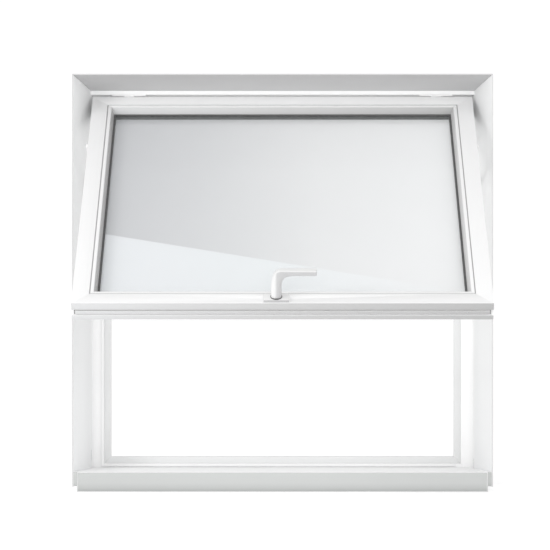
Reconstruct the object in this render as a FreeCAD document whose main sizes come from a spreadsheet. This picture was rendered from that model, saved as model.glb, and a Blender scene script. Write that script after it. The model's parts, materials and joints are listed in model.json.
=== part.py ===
"""Top-hung sash window with a lever handle: frame, splayed reveal boards, sill board and glazed sash.

The origin is the centre of the frame's underside. +X runs to the right, -Y to the room and +Z up.
The sash is drawn in its closed place and set open by SASH_POSE about the hinge axis along its top edge.
In every profile u is the distance in from the outer edge of a ring and y is the depth.
"""
import FreeCAD, Part
import math
import os
import re
import Sketcher

Vector = FreeCAD.Vector
Rotation = FreeCAD.Rotation
Placement = FreeCAD.Placement

DIMENSIONS = {
    # whole window
    "overall_width": 1000, "overall_height": 992,
    "frame_width": 976, "frame_height": 974, "frame_front": -40, "frame_back": 40,
    # frame profile: outer rebate, seat for the gasket, inner step and chamber
    "frame_member": 71, "rebate_edge": 26, "rebate_floor": 6, "seat_edge": 55, "step_floor": 18,
    "chamber_near": 8, "chamber_far": 48, "chamber_front": 12, "chamber_rear": 34,
    "fixing_radius": 3.75, "fixing_inset": 24, "frame_tube_wall": 2,
    # reveal boards and sill board
    "liner_front": -150, "liner_side": 38, "liner_head": 35, "liner_lip": 3, "liner_foot": 11,
    "board_top": 46.6, "board_under": 12, "board_front": -165, "nosing_width": 970, "cap_thick": 2,
    "nosing_round": 4,
    # sash ring and its profile
    "sash_width": 913, "sash_bottom": 50.6, "sash_top": 934, "sash_front": -40, "sash_back": 2,
    "face_width": 37, "leg_front": -4, "leg_edge": 55, "groove_front": -23, "groove_rear": -8.5,
    "groove_depth": 5, "rail_near": 8, "rail_far": 30, "rail_front": -35, "rail_rear": -3,
    "lock_near": 3, "lock_far": 31, "lock_front": -36, "lock_rear": -25, "lower_front": -21,
    "sash_tube_wall": 1.5, "tube_play": 0.5, "tube_inset": 60,
    # glazing
    "bead_gap": 0.6, "bead_bevel": 1.2, "bead_front": -39.6, "bead_face": 46, "bead_inner": 53,
    "bead_back": -22, "bead_toe": -22.8,
    "glass_edge": 42, "glass_front": -20, "glass_rear": -6, "pane_thick": 3,
    "spacer_inner": 55, "spacer_outer": 48.5, "gasket_outer": 49, "gasket_inner": 58,
    "packer_length": 100, "packer_x": 300, "packer_z": 200,
    # hinges and opening
    "hinge_y": -32, "hinge_z": 938, "hinge_x": 370, "knuckle_radius": 3.5, "hinge_pin_radius": 2,
    "leaf_half": 40, "knuckle_half": 12, "open_angle": 56.7, "run_gap": 0.05,
    "leaf_under": 945, "leaf_rear": -4, "leaf_thick": 3, "sash_leaf_thick": 2, "sash_leaf_depth": 24,
    "leaf_screw_x": 33, "leaf_screw_y": -14,
    # stays
    "stay_reach": 220, "stay_inner": 458, "stay_outer": 460.5, "stay_half_width": 6,
    "stud_radius": 4, "stud_root": 7.5, "stud_length": 12.4, "shoulder_radius": 7, "shoulder_thick": 1.2,
    "stud_head_radius": 5.5, "stud_head_thick": 0.6, "stud_head_gap": 0.3,
    "slider_radius": 3, "slider_length": 8, "track_low": 484, "track_high": 732, "track_half": 4.5,
    "track_depth": 6, "track_floor": 1.5, "track_end": 4, "track_screw_end": 18, "slot_play": 0.2,
    # handle
    "handle_x": -13.5, "handle_u": 17, "plate_width": 56, "plate_height": 27, "plate_depth": 6,
    "plate_wall": 3, "plate_roof": 1.2, "plate_round": 1.5, "plate_screw_x": 21.5, "base_thick": 1.6,
    "lever_reach": 90, "lever_height": 70, "lever_depth": 13, "lever_width": 18, "lever_heel": 11.5,
    "lever_round": 5, "neck_radius": 9, "spindle_side": 7, "spindle_front": 60, "spindle_length": 78,
    # lock
    "hub_radius": 6.5, "hub_length": 18, "hub_lead": 3.5, "front_bush_radius": 9, "rear_bush_radius": 8.4,
    "gear_module": 1.5, "pinion_root": 7.2, "pinion_tip": 10.3, "gear_front": -34.5, "gear_width": 7,
    "rod_back": 13.7, "rod_root": 10.7, "rod_tip": 8, "rod_tail": 22, "bolt_retract": 1,
    "bolt_length": 45, "bolt_thick": 6, "bolt_play": 0.4, "bolt_way": 34,
    "strip_end": 8, "strip_front": -18.5, "strip_rear": -10.5, "strip_thick": 3, "strip_screw_step": 200,
    # keeps
    "keep_deep": 14, "keep_front": -37, "keep_wide": 12, "keep_tall": 26, "keep_screw_z": 9,
    "cup_front": -35.4, "cup_wide": 8.8, "cup_tall": 8, "cup_floor": 1,
}
PINION_TEETH = 12
# head radius, head depth, shank radius, length
SCREW_SIZES = {
    "track_screws": (2.8, 1.5, 1.6, 12), "keep_screws": (3, 2, 1.6, 20),
    "hinge_frame_screws": (3.2, 2, 1.8, 18), "hinge_sash_screws": (3, 1.5, 1.8, 9.5),
    "handle_screws": (3.2, 2, 2, 15), "faceplate_screws": (2.4, 1.4, 1.3, 5.5),
}
SIDES = {"left": -1, "right": 1}
NAMES = re.compile(r"\b(?:%s)\b" % "|".join(DIMENSIONS))

doc = FreeCAD.newDocument("SashWindow")
sheet = doc.addObject("Spreadsheet::Sheet", "Dims")
for row, (alias, size) in enumerate(DIMENSIONS.items(), start=1):
    sheet.set("A%d" % row, alias)
    sheet.set("B%d" % row, str(size))
    sheet.setAlias("B%d" % row, alias)
doc.recompute()

NODES = []


def bound(text):
    """The same sum with every dimension's name pointed at its cell in the sheet."""
    return NAMES.sub(lambda found: "Dims." + found.group(0), str(text))


def number(text):
    """What a sum of dimensions comes to now."""
    return float(sheet.evalExpression(bound(text)))


def place(x, y, z):
    return Vector(number(x), number(y), number(z))


FIXED = Placement()
HINGE = place("0", "hinge_y", "hinge_z")
SASH_POSE = Placement(Vector(), Rotation(Vector(-1, 0, 0), number("open_angle")), HINGE)


def keep(label, piece):
    """Name a finished sub-part; its label is the name of its file."""
    piece.Label = label
    NODES.append(piece)
    return piece


# ---- building blocks ------------------------------------------------------------------------

def box(name, corner, size, pose=FIXED):
    """Block from its lowest corner and its three sizes, each a sum of dimensions."""
    block = doc.addObject("Part::Box", name)
    for side, text in zip(("Length", "Width", "Height"), size):
        block.setExpression(side, bound(text))
    block.Placement = pose.multiply(Placement(place(*corner), Rotation()))
    return block


def rod(name, start, along, radius, length, pose=FIXED):
    """Round bar from the middle of one end face, running along a direction."""
    bar = doc.addObject("Part::Cylinder", name)
    bar.setExpression("Radius", bound(radius))
    bar.setExpression("Height", bound(length))
    bar.Placement = pose.multiply(Placement(place(*start), Rotation(Vector(0, 0, 1), Vector(*along))))
    return bar


def fuse(name, pieces):
    joined = doc.addObject("Part::MultiFuse", name)
    joined.Shapes = pieces
    return joined


def group(name, pieces):
    """Several separate solids that share one node."""
    together = doc.addObject("Part::Compound", name)
    together.Links = pieces
    return together


def cut(name, base, tool):
    rest = doc.addObject("Part::Cut", name)
    rest.Base = base
    rest.Tool = tool
    return rest


def screw(name, seat, along, size, pose=FIXED):
    """Cylinder-head screw with a hexagon socket; returns the bore it fills and the screw."""
    head_radius, head_depth, shank_radius, length = size
    head = rod(name + "Head", seat, along, head_radius, head_depth, pose)
    shank = rod(name + "Shank", seat, along, shank_radius, length, pose)
    bore = fuse(name + "Bore", [head, shank])
    socket = doc.addObject("Part::Prism", name + "Socket")
    socket.Polygon = 6
    socket.setExpression("Circumradius", bound("(%s) * 0.5" % head_radius))
    socket.setExpression("Height", bound("(%s) * 0.6" % head_depth))
    socket.Placement = head.Placement
    return bore, cut(name + "Screw", bore, socket)


def screws(label, seats, along, pose=FIXED):
    """A set of equal screws in one node; along is one direction or one for each seat."""
    ways = along if isinstance(along, list) else [along] * len(seats)
    bores, finished = [], []
    for index, (seat, way) in enumerate(zip(seats, ways)):
        name = "%s%d" % (label, index)
        bore, body = screw(name, seat, way, SCREW_SIZES[label], pose)
        bores.append(bore)
        finished.append(body)
    keep(label, group(label, finished))
    return group(label + "Bores", bores)


def origin_plane(body, role):
    return [item for item in body.Origin.OriginFeatures if item.Role == role][0]


def add_loop(drawing, corners):
    """Closed outline of straight lines; two dimensions from the origin hold each corner."""
    spots = [Vector(number(across), number(up), 0) for across, up in corners]
    first = drawing.GeometryCount
    count = len(corners)
    drawing.addGeometry([Part.LineSegment(spots[i], spots[(i + 1) % count]) for i in range(count)], False)
    joins = [Sketcher.Constraint("Coincident", first + i, 2, first + (i + 1) % count, 1)
             for i in range(count)]
    drawing.addConstraint(joins)
    for i, (across, up) in enumerate(corners):
        ties = (("DistanceX", across, spots[i].x, -2), ("DistanceY", up, spots[i].y, -1))
        for kind, text, value, axis in ties:
            if abs(value) < 1e-9:
                drawing.addConstraint(Sketcher.Constraint("PointOnObject", first + i, 1, axis))
            else:
                index = drawing.addConstraint(Sketcher.Constraint(kind, -1, 1, first + i, 1, value))
                drawing.setExpression("Constraints[%d]" % index, bound(text))


def sketch(body, role, loops, offset="0"):
    """Drawing on one of the body's own origin planes, moved along the plane's normal."""
    drawing = body.newObject("Sketcher::SketchObject", body.Name + "Sketch")
    drawing.AttachmentSupport = (origin_plane(body, role), "")
    drawing.MapMode = "FlatFace"
    drawing.AttachmentOffset = Placement(Vector(0, 0, number(offset)), Rotation())
    for loop in loops:
        add_loop(drawing, loop)
    return drawing


def new_body(label, pose=FIXED):
    body = doc.addObject("PartDesign::Body", label + "Body")
    body.Placement = pose
    return body


def pad(body, role, loops, length, offset="0", centred=False):
    feature = body.newObject("PartDesign::Pad", body.Name + "Pad")
    feature.Profile = sketch(body, role, loops, offset)
    feature.setExpression("Length", bound(length))
    feature.SideType = "Symmetric" if centred else "One side"
    return feature


def pocket_through(body, role, loops, length):
    """Cut both ways through the body from an origin plane."""
    feature = body.newObject("PartDesign::Pocket", body.Name + "Pocket")
    feature.Profile = sketch(body, role, loops)
    feature.setExpression("Length", bound(length))
    feature.SideType = "Symmetric"
    return feature


def mitre_corner(side_x, half, corner_z, way_z, run, rise):
    """Triangle that takes a member's end off along the mitre: from the ring's corner inwards."""
    x = "%d * (%s)" % (side_x, half)
    inner_x = "%d * (%s - %s)" % (side_x, half, run)
    inner_z = "%s + %d * (%s)" % (corner_z, way_z, rise)
    return x, inner_x, corner_z, inner_z


def member(label, side, ring, loops, pose=FIXED, run="80", rise="80", feet=True):
    """One member of a rectangular ring, with mitred ends.

    ring is (half width, bottom, top); loops are outlines in (u, y). run and rise set the mitre's slope.
    """
    half, low, high = ring
    body = new_body(label, pose)
    if side in ("top", "bottom"):
        level = "(%s) - (%s)" if side == "top" else "(%s) + (%s)"
        edge = high if side == "top" else low
        outlines = [[(y, level % (edge, u)) for u, y in loop] for loop in loops]
        pad(body, "YZ_Plane", outlines, "2 * (%s)" % half, centred=True)
    else:
        sign = SIDES[side]
        outlines = [[("%d * (%s - (%s))" % (sign, half, u), y) for u, y in loop] for loop in loops]
        pad(body, "XY_Plane", outlines, "(%s) - (%s)" % (high, low), offset=low)
    cuts = []
    corners = []
    if side != "bottom":
        corners.append((high, -1))
    if side == "bottom" or (side != "top" and feet):
        corners.append((low, 1))
    ends = (-1, 1) if side in ("top", "bottom") else (SIDES[side],)
    for edge, way in corners:
        for end in ends:
            x, inner_x, z, inner_z = mitre_corner(end, half, edge, way, run, rise)
            spare = (x, inner_z) if side in ("top", "bottom") else (inner_x, z)
            cuts.append([(x, z), (inner_x, inner_z), spare])
    pocket_through(body, "XZ_Plane", cuts, "600")
    return body


# ---- outer frame ----------------------------------------------------------------------------

FRAME_RING = ("frame_width / 2", "0", "frame_height")
FRAME_PROFILE = [
    ("0", "frame_front"), ("rebate_edge", "frame_front"), ("rebate_edge", "rebate_floor"),
    ("seat_edge", "rebate_floor"), ("seat_edge", "step_floor"), ("frame_member", "step_floor"),
    ("frame_member", "frame_back"), ("0", "frame_back")]
FRAME_CHAMBER = [
    ("chamber_near", "chamber_front"), ("chamber_far", "chamber_front"),
    ("chamber_far", "chamber_rear"), ("chamber_near", "chamber_rear")]
FIXING_HEIGHTS = (200, 800)


def hinge_screw_seats(plate_z):
    """Two screw places on each hinge leaf, each side of the knuckles."""
    return [("%d * hinge_x + %d * leaf_screw_x" % (sign, end), "leaf_screw_y", plate_z)
            for sign in SIDES.values() for end in (-1, 1)]


REBATE_SIDE = "frame_width / 2 - rebate_edge"


def into_jamb(side, depth, lead="0"):
    """Lowest x of a block that runs from the rebate's side into a jamb, starting lead before it."""
    if side == "right":
        return "%s - (%s)" % (REBATE_SIDE, lead)
    return "-(%s - (%s) + (%s))" % (REBATE_SIDE, lead, depth)


def track_block(name, side):
    """Outer block of a stay track, let into the jamb's rebate side."""
    start = into_jamb(side, "track_depth")
    return box(name, (start, "hinge_y - track_half", "track_low"),
               ("track_depth", "2 * track_half", "track_high - track_low"))


def stay_tracks():
    """Steel channels that guide the sliders of the stays; returns their blocks and screw bores."""
    blocks, seats, ways = {}, [], []
    for side, sign in SIDES.items():
        blocks[side] = track_block("TrackBlock" + side, side)
        floor_x = "%d * (%s + track_depth - track_floor)" % (sign, REBATE_SIDE)
        for height in ("track_low + track_screw_end", "track_high - track_screw_end"):
            seats.append((floor_x, "hinge_y", height))
            ways.append((sign, 0, 0))
    bores = screws("track_screws", seats, ways)
    for side, sign in SIDES.items():
        deep = "track_depth - track_floor + 1"
        slot = box("TrackSlot" + side,
                   (into_jamb(side, deep, "1"), "hinge_y - slider_radius - slot_play",
                    "track_low + track_end"),
                   (deep, "2 * (slider_radius + slot_play)", "track_high - track_low - 2 * track_end"))
        tools = group("TrackTools" + side, [slot, bores])
        keep("stay_track_" + side, cut("stay_track_" + side, blocks[side], tools))
    return blocks, bores


def bolt_level(side):
    """Height of a lock rod's middle line with the sash closed: the left rod is the upper one."""
    above = "1" if side == "left" else "-1"
    return "sash_bottom + handle_u + %s * (rod_back - bolt_thick / 2)" % above


def bolt_keeps():
    """Cups in the jambs that the bolts enter; returns their blocks and screw bores."""
    blocks, seats, ways = {}, [], []
    for side, sign in SIDES.items():
        blocks[side] = box("KeepBlock" + side,
                           (into_jamb(side, "keep_deep"), "keep_front",
                            bolt_level(side) + " - keep_tall / 2"),
                           ("keep_deep", "keep_wide", "keep_tall"))
        for way in (-1, 1):
            seats.append(("%d * (%s)" % (sign, REBATE_SIDE), "keep_front + keep_wide / 2",
                          "%s + %d * keep_screw_z" % (bolt_level(side), way)))
            ways.append((sign, 0, 0))
    bores = screws("keep_screws", seats, ways)
    for side, sign in SIDES.items():
        cup = box("KeepCup" + side,
                  (into_jamb(side, "keep_deep", "cup_floor"), "cup_front",
                   bolt_level(side) + " - cup_tall / 2"),
                  ("keep_deep", "cup_wide", "cup_tall"))
        tools = group("KeepTools" + side, [cup, bores])
        keep("bolt_keep_" + side, cut("bolt_keep_" + side, blocks[side], tools))
    return blocks, bores


def outer_frame():
    """Four mitred frame members with the recesses that their hardware sits in."""
    tracks, track_bores = stay_tracks()
    keeps, keep_bores = bolt_keeps()
    leaf_bores = screws("hinge_frame_screws", hinge_screw_seats("leaf_under"), (0, 0, 1))
    loops = [FRAME_PROFILE, FRAME_CHAMBER]
    keep("frame_head", cut("frame_head", member("frame_head", "top", FRAME_RING, loops), leaf_bores))
    keep("frame_bottom_rail", member("frame_bottom_rail", "bottom", FRAME_RING, loops))
    for side, sign in SIDES.items():
        start_x = "%d * (frame_width / 2 + 1)" % sign
        drills = [rod("Fixing%s%d" % (side, height), (start_x, "frame_front + fixing_inset", height),
                      (-sign, 0, 0), "fixing_radius", "rebate_edge + 2") for height in FIXING_HEIGHTS]
        tools = group("JambTools" + side, [tracks[side], track_bores, keeps[side], keep_bores] + drills)
        jamb = member("frame_jamb_" + side, side, FRAME_RING, loops)
        keep("frame_jamb_" + side, cut("frame_jamb_" + side, jamb, tools))


def tube(name, corner, size, along, wall="frame_tube_wall", pose=FIXED):
    """Rectangular steel tube, open at both ends."""
    outer = box(name + "Out", corner, size, pose)
    inner_corner = [text if i == along else "(%s) + %s" % (text, wall) for i, text in enumerate(corner)]
    inner_size = [text if i == along else "(%s) - 2 * %s" % (text, wall) for i, text in enumerate(size)]
    return cut(name, outer, box(name + "In", inner_corner, inner_size, pose))


def frame_reinforcement():
    """Steel tubes that lie in the chambers of the frame."""
    reach = "frame_width / 2 - frame_member"
    deep = ("chamber_rear - chamber_front - 1", "chamber_far - chamber_near - 1")
    bars = [
        tube("HeadTube", ("-(%s)" % reach, "chamber_front", "frame_height - chamber_far + 1"),
             ("2 * (%s)" % reach, deep[0], deep[1]), 0),
        tube("FootTube", ("-(%s)" % reach, "chamber_front", "chamber_near"),
             ("2 * (%s)" % reach, deep[0], deep[1]), 0)]
    for side, sign in SIDES.items():
        start = "frame_width / 2 - chamber_far + 1" if sign > 0 else "-(frame_width / 2 - chamber_near)"
        bars.append(tube("JambTube" + side, (start, "chamber_front", "frame_member"),
                         (deep[1], deep[0], "frame_height - 2 * frame_member"), 2))
    keep("frame_reinforcement", group("frame_reinforcement", bars))


def ring_block(name, half, low, high, inset, start_y, depth, pose=FIXED):
    """Block as large as a ring's outline, set in by inset on all four sides."""
    return box(name, ("-(%s) + %s" % (half, inset), start_y, "%s + %s" % (low, inset)),
               ("2 * (%s) - 2 * %s" % (half, inset), depth, "%s - %s - 2 * %s" % (high, low, inset)), pose)


def flat_ring(label, ring, outer, inner, start_y, depth, pose=FIXED):
    """Closed flat ring between two insets of a rectangle."""
    shell = ring_block(label + "Out", *ring, outer, start_y, depth, pose)
    core = ring_block(label + "In", *ring, inner, start_y, depth, pose)
    return keep(label, cut(label, shell, core))


# ---- reveal boards and sill board -----------------------------------------------------------

def reveal_boards():
    """Splayed boards at the head and both jambs: thick at the frame and thin at the front edge."""
    ring = ("overall_width / 2", "liner_foot", "overall_height")
    lip = "liner_lip * liner_head / liner_side"
    head = [("0", "frame_front"), ("liner_head", "frame_front"), (lip, "liner_front"), ("0", "liner_front")]
    jamb = [("0", "frame_front"), ("liner_side", "frame_front"),
            ("liner_lip", "liner_front"), ("0", "liner_front")]
    slope = {"run": "liner_side * 1.5", "rise": "liner_head * 1.5"}
    keep("head_liner", member("head_liner", "top", ring, [head], **slope))
    for side in SIDES:
        keep("jamb_liner_" + side, member("jamb_liner_" + side, side, ring, [jamb], feet=False, **slope))


def sill_board():
    """Board between the reveals with a deep nosing; its back edge lies on the frame's lower rebate."""
    body = new_body("sill_board")
    reach = "frame_width / 2 - rebate_edge"
    front = "overall_width / 2 - liner_lip"
    plan = [("-(%s)" % reach, "rebate_floor"), ("-(%s)" % reach, "frame_front"),
            ("-(%s)" % front, "liner_front"), (front, "liner_front"),
            (reach, "frame_front"), (reach, "rebate_floor")]
    pad(body, "XY_Plane", [plan], "board_top - board_under", offset="board_under")
    notch = [("frame_front", "board_under"), ("rebate_floor", "board_under"),
             ("rebate_floor", "rebate_edge"), ("frame_front", "rebate_edge")]
    pocket_through(body, "YZ_Plane", [notch], "overall_width")
    nosing = box("Nosing", ("-nosing_width / 2", "board_front", "0"),
                 ("nosing_width", "liner_front - board_front", "board_top"))
    rounded = doc.addObject("Part::Fillet", "NosingRound")
    rounded.Base = nosing
    doc.recompute()
    edges = []
    for index, edge in enumerate(nosing.Shape.Edges, start=1):
        middle = edge.CenterOfMass
        if abs(middle.y - number("board_front")) < 0.01 and abs(middle.x) < 1:
            edges.append((index, number("nosing_round"), number("nosing_round")))
    rounded.Edges = edges
    keep("sill_board", fuse("sill_board", [body, rounded]))
    caps = [box("Cap" + side, ("nosing_width / 2" if sign > 0 else "-nosing_width / 2 - cap_thick",
                               "board_front", "0"),
                ("cap_thick", "liner_front - board_front", "board_top")) for side, sign in SIDES.items()]
    keep("sill_end_caps", group("sill_end_caps", caps))


# ---- hinges along the top edge --------------------------------------------------------------

def hinges():
    """Two concealed hinges in the gap over the sash: frame leaf above, sash leaf below, loose pin."""
    pins = []
    for side, sign in SIDES.items():
        middle = "%d * hinge_x" % sign
        barrel_y = "hinge_y - knuckle_radius"
        wide = "2 * knuckle_radius"
        pin = rod("HingePin" + side, (middle + " - leaf_half + 2", "hinge_y", "hinge_z"), (1, 0, 0),
                  "hinge_pin_radius", "2 * leaf_half - 4")
        pins.append(pin)
        plate = box("FrameLeafPlate" + side, (middle + " - leaf_half", barrel_y, "leaf_under"),
                    ("2 * leaf_half", "leaf_rear - (%s)" % barrel_y, "leaf_thick"))
        web = box("FrameLeafWeb" + side, (middle + " - knuckle_half", barrel_y, "hinge_z"),
                  ("2 * knuckle_half", wide, "leaf_under - hinge_z"))
        barrel = rod("FrameBarrel" + side, (middle + " - knuckle_half", "hinge_y", "hinge_z"), (1, 0, 0),
                     "knuckle_radius", "2 * knuckle_half")
        leaf = fuse("FrameLeaf" + side, [plate, web, barrel])
        tools = group("FrameLeafTools" + side, [pin, doc.getObject("hinge_frame_screwsBores")])
        keep("hinge_frame_leaf_" + side, cut("hinge_frame_leaf_" + side, leaf, tools))
        sash_leaf(side, middle)
    keep("hinge_pins", group("hinge_pins", pins))


def sash_leaf(side, middle):
    """Leaf screwed on top of the sash, with a knuckle at each end of the frame's."""
    plate = box("SashLeafPlate" + side,
                (middle + " - leaf_half", "hinge_y + knuckle_radius + 0.6", "sash_top"),
                ("2 * leaf_half", "sash_leaf_depth", "sash_leaf_thick"), SASH_POSE)
    pieces = [plate]
    for end, start in (("A", "-leaf_half + 4"), ("B", "knuckle_half + 0.4")):
        width = "leaf_half - knuckle_half - 4.4"
        begin = "%s + %s" % (middle, start)
        pieces.append(box("SashKnuckleFoot" + side + end, (begin, "hinge_y - knuckle_radius", "sash_top"),
                          (width, "2 * knuckle_radius + 2", "hinge_z - sash_top"), SASH_POSE))
        pieces.append(rod("SashKnuckle" + side + end, (begin, "hinge_y", "hinge_z"), (1, 0, 0),
                          "knuckle_radius", width, SASH_POSE))
    hole = rod("SashLeafHole" + side, (middle + " - leaf_half - 1", "hinge_y", "hinge_z"), (1, 0, 0),
               "hinge_pin_radius + run_gap", "2 * leaf_half + 2", SASH_POSE)
    tools = group("SashLeafTools" + side, [hole, doc.getObject("hinge_sash_screwsBores")])
    keep("hinge_sash_leaf_" + side, cut("hinge_sash_leaf_" + side, fuse("SashLeaf" + side, pieces), tools))


# ---- sash ring ------------------------------------------------------------------------------

SASH_RING = ("sash_width / 2", "sash_bottom", "sash_top")
SASH_PROFILE = [
    ("0", "sash_front"), ("face_width", "sash_front"), ("face_width", "leg_front"),
    ("leg_edge", "leg_front"), ("leg_edge", "sash_back"), ("0", "sash_back"), ("0", "groove_rear"),
    ("groove_depth", "groove_rear"), ("groove_depth", "groove_front"), ("0", "groove_front")]


def rectangle(near, far, front, rear):
    return [(near, front), (far, front), (far, rear), (near, rear)]


SASH_CHAMBER = rectangle("rail_near", "rail_far", "rail_front", "rail_rear")
LOCK_CHAMBER = rectangle("lock_near", "lock_far", "lock_front", "lock_rear")
LOWER_CHAMBER = rectangle("rail_near", "rail_far", "lower_front", "rail_rear")


def stud_start(sign):
    """Inner end of a stay's stud, inside the stile."""
    return ("%d * (sash_width / 2 - stud_root)" % sign, "hinge_y", "hinge_z - stay_reach")


def stay_studs():
    """Studs in the stiles' edges that the stays turn on; returns their shapes for the holes."""
    studs = {}
    for side, sign in SIDES.items():
        shank = rod("StudShank" + side, stud_start(sign), (sign, 0, 0), "stud_radius", "stud_length",
                    SASH_POSE)
        shoulder = rod("StudShoulder" + side,
                       ("%d * sash_width / 2" % sign, "hinge_y", "hinge_z - stay_reach"),
                       (sign, 0, 0), "shoulder_radius", "shoulder_thick", SASH_POSE)
        head = rod("StudHead" + side,
                   ("%d * (stay_outer + stud_head_gap)" % sign, "hinge_y", "hinge_z - stay_reach"),
                   (sign, 0, 0), "stud_head_radius", "stud_head_thick", SASH_POSE)
        studs[side] = keep("stay_stud_" + side, fuse("stay_stud_" + side, [shank, shoulder, head]))
    return studs


def sash_members():
    """Four mitred sash members; the bottom rail also holds the lock."""
    studs = stay_studs()
    leaf_bores = screws("hinge_sash_screws", hinge_screw_seats("sash_top + sash_leaf_thick"),
                        (0, 0, -1), SASH_POSE)
    plain = [SASH_PROFILE, SASH_CHAMBER]
    top = member("sash_top_rail", "top", SASH_RING, plain, SASH_POSE)
    keep("sash_top_rail", cut("sash_top_rail", top, leaf_bores))
    for side, sign in SIDES.items():
        way = "sash_width / 2 - bolt_way" if sign > 0 else "-(sash_width / 2 + 1)"
        hole = box("BoltWay" + side,
                   (way, "gear_front - 0.5", bolt_level(side) + " - bolt_thick / 2 - bolt_play"),
                   ("bolt_way + 1", "gear_width + 1", "bolt_thick + 2 * bolt_play"), SASH_POSE)
        stile = member("sash_stile_" + side, side, SASH_RING, plain, SASH_POSE)
        tools = group("StileTools" + side, [hole, studs[side]])
        keep("sash_stile_" + side, cut("sash_stile_" + side, stile, tools))
    bottom = member("sash_bottom_rail", "bottom", SASH_RING,
                    [SASH_PROFILE, LOCK_CHAMBER, LOWER_CHAMBER], SASH_POSE)
    keep("sash_bottom_rail", cut("sash_bottom_rail", bottom, lock_openings()))


def sash_reinforcement():
    """Steel tubes in the chambers of the sash."""
    reach = "sash_width / 2 - tube_inset"
    wall = "sash_tube_wall"
    across = "rail_far - rail_near - tube_play"
    deep = "rail_rear - rail_front - tube_play"
    bars = [
        tube("TopTube", ("-(%s)" % reach, "rail_front", "sash_top - rail_far + tube_play"),
             ("2 * (%s)" % reach, deep, across), 0, wall, SASH_POSE),
        tube("BottomTube", ("-(%s)" % reach, "lower_front + 1", "sash_bottom + rail_near"),
             ("2 * (%s)" % reach, "rail_rear - lower_front - 1", across), 0, wall, SASH_POSE)]
    for side, sign in SIDES.items():
        start = "sash_width / 2 - rail_far + tube_play" if sign > 0 else "-(sash_width / 2 - rail_near)"
        bars.append(tube("StileTube" + side, (start, "rail_front", "sash_bottom + tube_inset"),
                         (across, deep, "sash_top - sash_bottom - 2 * tube_inset"), 2, wall, SASH_POSE))
    keep("sash_reinforcement", group("sash_reinforcement", bars))


# ---- glazing --------------------------------------------------------------------------------

def glazing():
    """Sealed double pane with a warm-edge spacer, between two gaskets and held by four beads."""
    for label, start in (("inner_pane", "glass_front"), ("outer_pane", "glass_rear - pane_thick")):
        keep(label, group(label, [ring_block(label + "Sheet", *SASH_RING, "glass_edge", start, "pane_thick",
                                             SASH_POSE)]))
    gap = ("glass_front + pane_thick", "glass_rear - glass_front - 2 * pane_thick")
    flat_ring("spacer_bar", SASH_RING, "spacer_outer", "spacer_inner", *gap, SASH_POSE)
    flat_ring("edge_seal", SASH_RING, "glass_edge", "spacer_outer", *gap, SASH_POSE)
    flat_ring("glazing_gasket_front", SASH_RING, "gasket_outer", "gasket_inner", "bead_back",
              "glass_front - bead_back", SASH_POSE)
    flat_ring("glazing_gasket_back", SASH_RING, "gasket_outer - 4", "leg_edge", "glass_rear",
              "leg_front - glass_rear", SASH_POSE)
    edge = "face_width + bead_gap"
    bead = [(edge, "bead_back"), (edge, "bead_front + bead_bevel"), (edge + " + bead_bevel", "bead_front"),
            ("bead_face", "bead_front"), ("bead_face + 1.5", "bead_front + 1.2"),
            ("bead_inner", "bead_toe"), ("bead_inner", "bead_back")]
    for side in ("top", "bottom", "left", "right"):
        keep("bead_" + side, member("bead_" + side, side, SASH_RING, [bead], SASH_POSE))


def setting_blocks():
    """Packers between the pane's edge and the sash, on all four sides."""
    depth = "glass_rear - glass_front"
    thick = "glass_edge - face_width"
    half = "sash_width / 2"
    blocks = []
    for sign in SIDES.values():
        for level, start in (("low", "sash_bottom + face_width"), ("high", "sash_top - glass_edge")):
            low_x = "%d * packer_x - packer_length / 2" % sign
            blocks.append(box("Block%s%d" % (level, sign + 1), (low_x, "glass_front", start),
                              ("packer_length", depth, thick), SASH_POSE))
        side_x = "%s - glass_edge" % half if sign > 0 else "-(%s - face_width)" % half
        low_z = "sash_bottom + packer_z - packer_length / 2"
        blocks.append(box("BlockSide%d" % (sign + 1), (side_x, "glass_front", low_z),
                          (thick, depth, "packer_length"), SASH_POSE))
    keep("setting_blocks", group("setting_blocks", blocks))


# ---- stays ----------------------------------------------------------------------------------

def stays():
    """Two arms that hold the sash open, each from its stud to the slider in the jamb's track."""
    angle = math.radians(number("open_angle"))
    reach = number("stay_reach")
    stud = HINGE + Vector(0, -reach * math.sin(angle), -reach * math.cos(angle))
    pose = Placement(stud, Rotation(Vector(-1, 0, 0), -number("open_angle")))
    for side, sign in SIDES.items():
        start = "stay_inner" if sign > 0 else "-stay_outer"
        thick = "stay_outer - stay_inner"
        bar = box("ArmBar" + side, (start, "-stay_half_width", "-stay_reach"),
                  (thick, "2 * stay_half_width", "stay_reach"), pose)
        ends = [rod("ArmEnd%s%s" % (side, end), (start, "0", level), (1, 0, 0), "stay_half_width",
                    thick, pose) for end, level in (("Stud", "0"), ("Slider", "-stay_reach"))]
        hole = rod("ArmHole" + side, ("%d * (stay_inner - 1)" % sign, "0", "0"), (sign, 0, 0),
                   "stud_radius + run_gap", "5", pose)
        slider = rod("Slider" + side, ("%d * stay_inner" % sign, "0", "-stay_reach"), (sign, 0, 0),
                     "slider_radius", "slider_length", pose)
        tools = group("ArmTools" + side, [hole, slider])
        keep("stay_arm_" + side, cut("stay_arm_" + side, fuse("Arm" + side, [bar] + ends), tools))
        keep("stay_slider_" + side, group("stay_slider_" + side, [slider]))


# ---- handle and lock ------------------------------------------------------------------------

AXIS_Z = "sash_bottom + handle_u"


def axis_point(depth):
    return ("handle_x", depth, AXIS_Z)


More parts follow.
